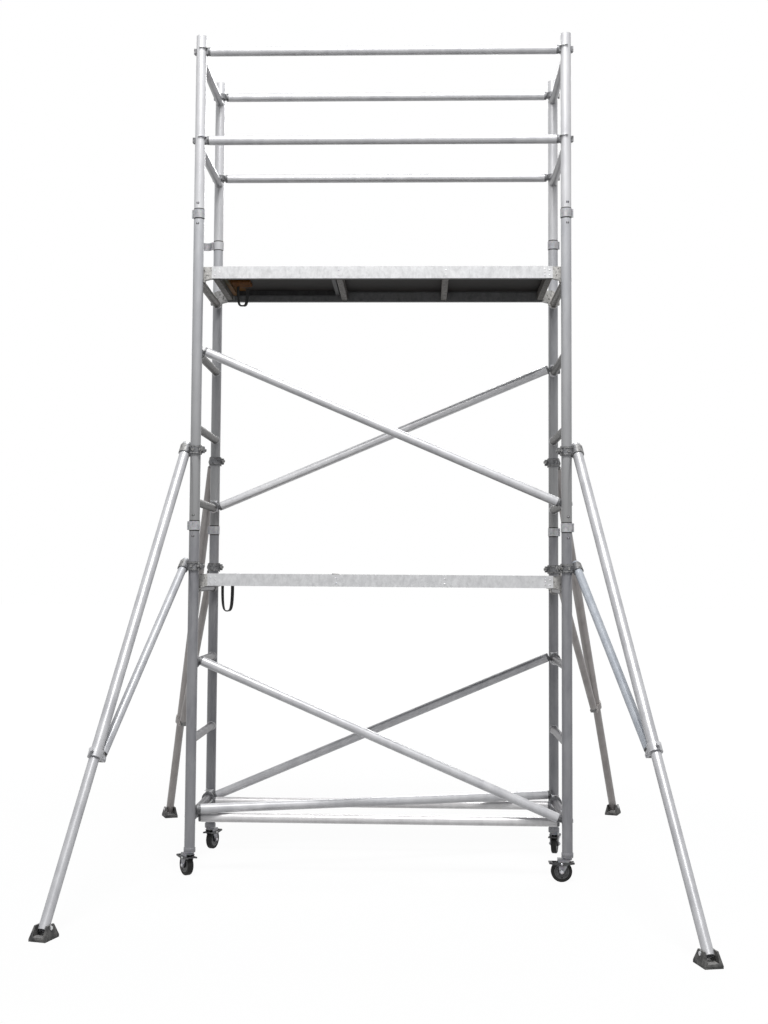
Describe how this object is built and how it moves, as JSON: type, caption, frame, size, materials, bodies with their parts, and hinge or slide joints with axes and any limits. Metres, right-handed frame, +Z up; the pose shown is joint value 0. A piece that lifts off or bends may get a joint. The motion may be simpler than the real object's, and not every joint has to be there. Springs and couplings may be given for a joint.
{
  "type": "mobile scaffold tower",
  "caption": "Narrow mobile access tower with ladder end frames, trapdoor platforms, clip-on braces, guardrails, braked castors and telescopic stabilisers.",
  "frame": {"origin": "on the ground, under the centre of the rectangle around the four stabiliser feet", "axes": "+X along the bay, towards the end away from the trapdoors; +Y from the front to the rear; +Z up"},
  "size_m": [2.7774, 3.405, 4.108],
  "materials": {
    "aluminium": "drawn tube, lightly brushed and weathered",
    "plywood": "phenolic-faced plywood, matt",
    "dark_castings": "dark cast metal, semi-matt",
    "zinc_steel": "zinc plated",
    "pedal_black": "black, satin",
    "tyre": "solid black rubber",
    "rubber": "moulded black rubber",
    "pull_plastic": "orange-brown moulding, matt",
    "webbing": "woven black webbing"
  },
  "bodies": {
    "tower": {"base_frame_left": "aluminium", "base_frame_right": "aluminium", "base_rails": "aluminium", "brace_claws": "dark_castings", "castor_stems": "zinc_steel", "claw_latches": "zinc_steel", "diagonal_lower_front": "aluminium", "diagonal_lower_rear": "aluminium", "diagonal_upper_front": "aluminium", "diagonal_upper_rear": "aluminium", "guard_frame_left": "aluminium", "guard_frame_right": "aluminium", "guardrails_front": "aluminium", "guardrails_rear": "aluminium", "interlock_clips": "zinc_steel", "joint_spigots": "aluminium", "plan_brace": "aluminium", "platform_lower_boards": "plywood", "platform_lower_frame": "aluminium", "platform_lower_hooks": "dark_castings", "platform_upper_boards": "plywood", "platform_upper_frame": "aluminium", "platform_upper_hooks": "dark_castings", "upper_frame_left": "aluminium", "upper_frame_right": "aluminium"},
    "castor_front_left_fork": {"castor_front_left_fork": "zinc_steel"},
    "castor_front_left_wheel": {"castor_front_left_wheel": "tyre"},
    "castor_front_left_brake": {"castor_front_left_brake": "pedal_black"},
    "stabiliser_front_left": {"stabiliser_front_left_arm": "aluminium", "stabiliser_front_left_strut": "aluminium"},
    "stabiliser_front_left_leg": {"stabiliser_front_left_leg": "aluminium"},
    "stabiliser_front_left_foot": {"stabiliser_front_left_foot": "rubber"},
    "castor_front_right_fork": {"castor_front_right_fork": "zinc_steel"},
    "castor_front_right_wheel": {"castor_front_right_wheel": "tyre"},
    "castor_front_right_brake": {"castor_front_right_brake": "pedal_black"},
    "stabiliser_front_right": {"stabiliser_front_right_arm": "aluminium", "stabiliser_front_right_strut": "aluminium"},
    "stabiliser_front_right_leg": {"stabiliser_front_right_leg": "aluminium"},
    "stabiliser_front_right_foot": {"stabiliser_front_right_foot": "rubber"},
    "castor_rear_left_fork": {"castor_rear_left_fork": "zinc_steel"},
    "castor_rear_left_wheel": {"castor_rear_left_wheel": "tyre"},
    "castor_rear_left_brake": {"castor_rear_left_brake": "pedal_black"},
    "stabiliser_rear_left": {"stabiliser_rear_left_arm": "aluminium", "stabiliser_rear_left_strut": "aluminium"},
    "stabiliser_rear_left_leg": {"stabiliser_rear_left_leg": "aluminium"},
    "stabiliser_rear_left_foot": {"stabiliser_rear_left_foot": "rubber"},
    "castor_rear_right_fork": {"castor_rear_right_fork": "zinc_steel"},
    "castor_rear_right_wheel": {"castor_rear_right_wheel": "tyre"},
    "castor_rear_right_brake": {"castor_rear_right_brake": "pedal_black"},
    "stabiliser_rear_right": {"stabiliser_rear_right_arm": "aluminium", "stabiliser_rear_right_strut": "aluminium"},
    "stabiliser_rear_right_leg": {"stabiliser_rear_right_leg": "aluminium"},
    "stabiliser_rear_right_foot": {"stabiliser_rear_right_foot": "rubber"},
    "platform_lower_trapdoor": {"platform_lower_hatch": "plywood", "platform_lower_catch": "pull_plastic", "platform_lower_strap": "webbing"},
    "platform_upper_trapdoor": {"platform_upper_hatch": "plywood", "platform_upper_catch": "pull_plastic", "platform_upper_strap": "webbing"},
    "interlock_leaf": {"interlock_leaf_open": "zinc_steel"}
  },
  "joints": [
    {"name": "castor_front_left_swivel", "type": "hinge", "parent": "tower", "child": "castor_front_left_fork", "pos_m": [-0.94683, -0.26594, 0.12], "axis": [0, 0, 1], "continuous": true},
    {"name": "castor_front_left_roll", "type": "hinge", "parent": "castor_front_left_fork", "child": "castor_front_left_wheel", "pos_m": [-0.96368, -0.24358, 0.05], "axis": [-0.7986, -0.6018, 0], "continuous": true},
    {"name": "castor_front_left_pedal", "type": "hinge", "parent": "castor_front_left_fork", "child": "castor_front_left_brake", "pos_m": [-0.96368, -0.24358, 0.086], "axis": [-0.7986, -0.6018, 0], "range_deg": [0, 10]},
    {"name": "stabiliser_front_left_swing", "type": "hinge", "parent": "tower", "child": "stabiliser_front_left", "pos_m": [-0.94683, -0.26594, 2.045], "axis": [0, 0, 1], "range_deg": [-59.5, 20.5]},
    {"name": "stabiliser_front_left_extend", "type": "slide", "parent": "stabiliser_front_left", "child": "stabiliser_front_left_leg", "axis": [-0.1396, -0.5033, -0.8528], "range_m": [-0.4, 0.2]},
    {"name": "stabiliser_front_left_foot_tilt", "type": "hinge", "parent": "stabiliser_front_left_leg", "child": "stabiliser_front_left_foot", "pos_m": [-1.32527, -1.43223, 0.045], "axis": [0.9636, -0.2672, 0], "range_deg": [-20, 20]},
    {"name": "castor_front_right_swivel", "type": "hinge", "parent": "tower", "child": "castor_front_right_fork", "pos_m": [0.85317, -0.26594, 0.12], "axis": [0, 0, 1], "continuous": true},
    {"name": "castor_front_right_roll", "type": "hinge", "parent": "castor_front_right_fork", "child": "castor_front_right_wheel", "pos_m": [0.82517, -0.26594, 0.05], "axis": [0, -1, 0], "continuous": true},
    {"name": "castor_front_right_pedal", "type": "hinge", "parent": "castor_front_right_fork", "child": "castor_front_right_brake", "pos_m": [0.82517, -0.26594, 0.086], "axis": [0, -1, 0], "range_deg": [0, 10]},
    {"name": "stabiliser_front_right_swing", "type": "hinge", "parent": "tower", "child": "stabiliser_front_right", "pos_m": [0.85317, -0.26594, 2.045], "axis": [0, 0, 1], "range_deg": [-18, 62]},
    {"name": "stabiliser_front_right_extend", "type": "slide", "parent": "stabiliser_front_right", "child": "stabiliser_front_right_leg", "axis": [0.1305, -0.5654, -0.8144], "range_m": [-0.4, 0.2]},
    {"name": "stabiliser_front_right_foot_tilt", "type": "hinge", "parent": "stabiliser_front_right_leg", "child": "stabiliser_front_right_foot", "pos_m": [1.22537, -1.6425, 0.045], "axis": [0.9744, 0.225, 0], "range_deg": [-20, 20]},
    {"name": "castor_rear_left_swivel", "type": "hinge", "parent": "tower", "child": "castor_rear_left_fork", "pos_m": [-0.94683, 0.38406, 0.12], "axis": [0, 0, 1], "continuous": true},
    {"name": "castor_rear_left_roll", "type": "hinge", "parent": "castor_rear_left_fork", "child": "castor_rear_left_wheel", "pos_m": [-0.93725, 0.41037, 0.05], "axis": [-0.9397, 0.342, 0], "continuous": true},
    {"name": "castor_rear_left_pedal", "type": "hinge", "parent": "castor_rear_left_fork", "child": "castor_rear_left_brake", "pos_m": [-0.93725, 0.41037, 0.086], "axis": [-0.9397, 0.342, 0], "range_deg": [0, 10]},
    {"name": "stabiliser_rear_left_swing", "type": "hinge", "parent": "tower", "child": "stabiliser_rear_left", "pos_m": [-0.94683, 0.38406, 2.045], "axis": [0, 0, 1], "range_deg": [-27, 53]},
    {"name": "stabiliser_rear_left_extend", "type": "slide", "parent": "stabiliser_rear_left", "child": "stabiliser_rear_left_leg", "axis": [-0.1651, 0.4086, -0.8976], "range_m": [-0.4, 0.2]},
    {"name": "stabiliser_rear_left_foot_tilt", "type": "hinge", "parent": "stabiliser_rear_left_leg", "child": "stabiliser_rear_left_foot", "pos_m": [-1.33455, 1.34369, 0.045], "axis": [-0.9272, -0.3746, 0], "range_deg": [-20, 20]},
    {"name": "castor_rear_right_swivel", "type": "hinge", "parent": "tower", "child": "castor_rear_right_fork", "pos_m": [0.85317, 0.38406, 0.12], "axis": [0, 0, 1], "continuous": true},
    {"name": "castor_rear_right_roll", "type": "hinge", "parent": "castor_rear_right_fork", "child": "castor_rear_right_wheel", "pos_m": [0.85994, 0.41123, 0.05], "axis": [-0.9703, 0.2419, 0], "continuous": true},
    {"name": "castor_rear_right_pedal", "type": "hinge", "parent": "castor_rear_right_fork", "child": "castor_rear_right_brake", "pos_m": [0.85994, 0.41123, 0.086], "axis": [-0.9703, 0.2419, 0], "range_deg": [0, 10]},
    {"name": "stabiliser_rear_right_swing", "type": "hinge", "parent": "tower", "child": "stabiliser_rear_right", "pos_m": [0.85317, 0.38406, 2.045], "axis": [0, 0, 1], "range_deg": [-54, 26]},
    {"name": "stabiliser_rear_right_extend", "type": "slide", "parent": "stabiliser_rear_right", "child": "stabiliser_rear_right_leg", "axis": [0.1945, 0.5066, -0.84], "range_m": [-0.4, 0.2]},
    {"name": "stabiliser_rear_right_foot_tilt", "type": "hinge", "parent": "stabiliser_rear_right_leg", "child": "stabiliser_rear_right_foot", "pos_m": [1.33517, 1.63972, 0.045], "axis": [-0.9336, 0.3584, 0], "range_deg": [-20, 20]},
    {"name": "platform_lower_trapdoor_hinge", "type": "hinge", "parent": "tower", "child": "platform_lower_trapdoor", "pos_m": [-0.27683, 0.05906, 1.445], "axis": [0, 1, 0], "range_deg": [0, 95]},
    {"name": "platform_upper_trapdoor_hinge", "type": "hinge", "parent": "tower", "child": "platform_upper_trapdoor", "pos_m": [-0.27683, 0.05906, 2.958], "axis": [0, 1, 0], "range_deg": [0, 95]},
    {"name": "interlock_leaf_hinge", "type": "hinge", "parent": "tower", "child": "interlock_leaf", "pos_m": [-0.97828, 0.38406, 3.211], "axis": [0, 0, 1], "range_deg": [0, 165]}
  ]
}
